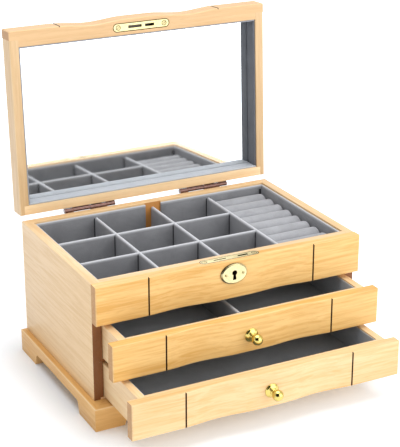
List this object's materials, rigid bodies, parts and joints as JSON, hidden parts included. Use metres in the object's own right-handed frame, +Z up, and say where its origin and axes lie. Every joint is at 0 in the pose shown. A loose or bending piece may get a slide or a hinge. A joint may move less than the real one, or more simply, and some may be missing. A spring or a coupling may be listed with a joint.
{
  "type": "jewellery box",
  "caption": "Wooden jewellery box with a mirrored lockable lid, a divided velvet tray with ring rolls, two bow-fronted drawers with ball knobs and a bracket-foot base.",
  "frame": {"origin": "on the floor, at the middle of the footprint of the bracket-foot base", "axes": "+Z up; front faces -Y, so drawers pull out towards -Y; +X to the right as seen from the front"},
  "size_m": [0.3136, 0.3304, 0.3545],
  "materials": {
    "front_wood": "satin lacquer, honey golden, lengthwise grain",
    "case_wood": "satin lacquer, pale golden, straight grain",
    "panel_wood": "thin panel, satin, pale golden",
    "grey_velvet": "short-pile velvet, mid grey",
    "roll_velvet": "short-pile velvet over soft foam, mid grey",
    "dark_velvet": "short-pile velvet, dark grey",
    "mirror_glass": "silvered flat glass",
    "polished_brass": "polished, golden",
    "plate_brass": "polished, pale",
    "antique_brass": "antiqued, dark red-brown",
    "steel": "plain zinc-plated steel"
  },
  "bodies": {
    "case": {"left_side_panel": "case_wood", "right_side_panel": "case_wood", "back_panel": "case_wood", "tray_front_wall": "case_wood", "front_rail": "front_wood", "tray_floor": "panel_wood", "dust_board": "panel_wood", "case_bottom": "panel_wood", "plinth_front": "case_wood", "plinth_back": "case_wood", "plinth_left": "case_wood", "plinth_right": "case_wood", "tray_lining": "grey_velvet", "left_divider": "grey_velvet", "centre_divider": "grey_velvet", "right_divider": "grey_velvet", "front_cross_divider": "grey_velvet", "back_cross_divider": "grey_velvet", "ring_pad_base": "grey_velvet", "ring_rolls": "roll_velvet", "lock_body": "steel", "lock_plate": "plate_brass", "lock_plate_screws": "plate_brass", "escutcheon": "plate_brass", "escutcheon_pins": "plate_brass", "hinge_case_leaves": "antique_brass", "hinge_pins": "antique_brass", "hinge_case_screws": "antique_brass"},
    "hook": {"lock_hook": "steel"},
    "lid": {"lid_left_rail": "case_wood", "lid_right_rail": "case_wood", "lid_back_rail": "case_wood", "lid_inner_front_rail": "case_wood", "lid_front_moulding": "front_wood", "lid_top_panel": "panel_wood", "mirror": "mirror_glass", "lid_lining": "grey_velvet", "strike_plate": "plate_brass", "strike_plate_screws": "plate_brass", "hinge_lid_leaves": "antique_brass", "hinge_lid_screws": "antique_brass"},
    "middle_drawer": {"middle_drawer_front": "front_wood", "middle_drawer_inner_front": "case_wood", "middle_drawer_left_side": "case_wood", "middle_drawer_right_side": "case_wood", "middle_drawer_back": "case_wood", "middle_drawer_bottom": "panel_wood", "middle_drawer_lining": "dark_velvet", "middle_drawer_knob": "polished_brass", "middle_drawer_knob_screw": "steel", "middle_drawer_divider": "grey_velvet"},
    "lower_drawer": {"lower_drawer_front": "front_wood", "lower_drawer_inner_front": "case_wood", "lower_drawer_left_side": "case_wood", "lower_drawer_right_side": "case_wood", "lower_drawer_back": "case_wood", "lower_drawer_bottom": "panel_wood", "lower_drawer_lining": "dark_velvet", "lower_drawer_knob": "polished_brass", "lower_drawer_knob_screw": "steel"}
  },
  "joints": [
    {"name": "lid_hinge", "type": "hinge", "parent": "case", "child": "lid", "pos_m": [0, 0.10625, 0.1523], "axis": [1, 0, 0], "range_deg": [0, 92.8]},
    {"name": "middle_drawer_slide", "type": "slide", "parent": "case", "child": "middle_drawer", "axis": [0, -1, 0], "range_m": [-0.038, 0.097]},
    {"name": "lower_drawer_slide", "type": "slide", "parent": "case", "child": "lower_drawer", "axis": [0, -1, 0], "range_m": [-0.08, 0.055]},
    {"name": "lock_hook_swing", "type": "hinge", "parent": "case", "child": "hook", "pos_m": [0.0035, -0.08715, 0.1468], "axis": [0, -1, 0], "range_deg": [0, 90]}
  ]
}
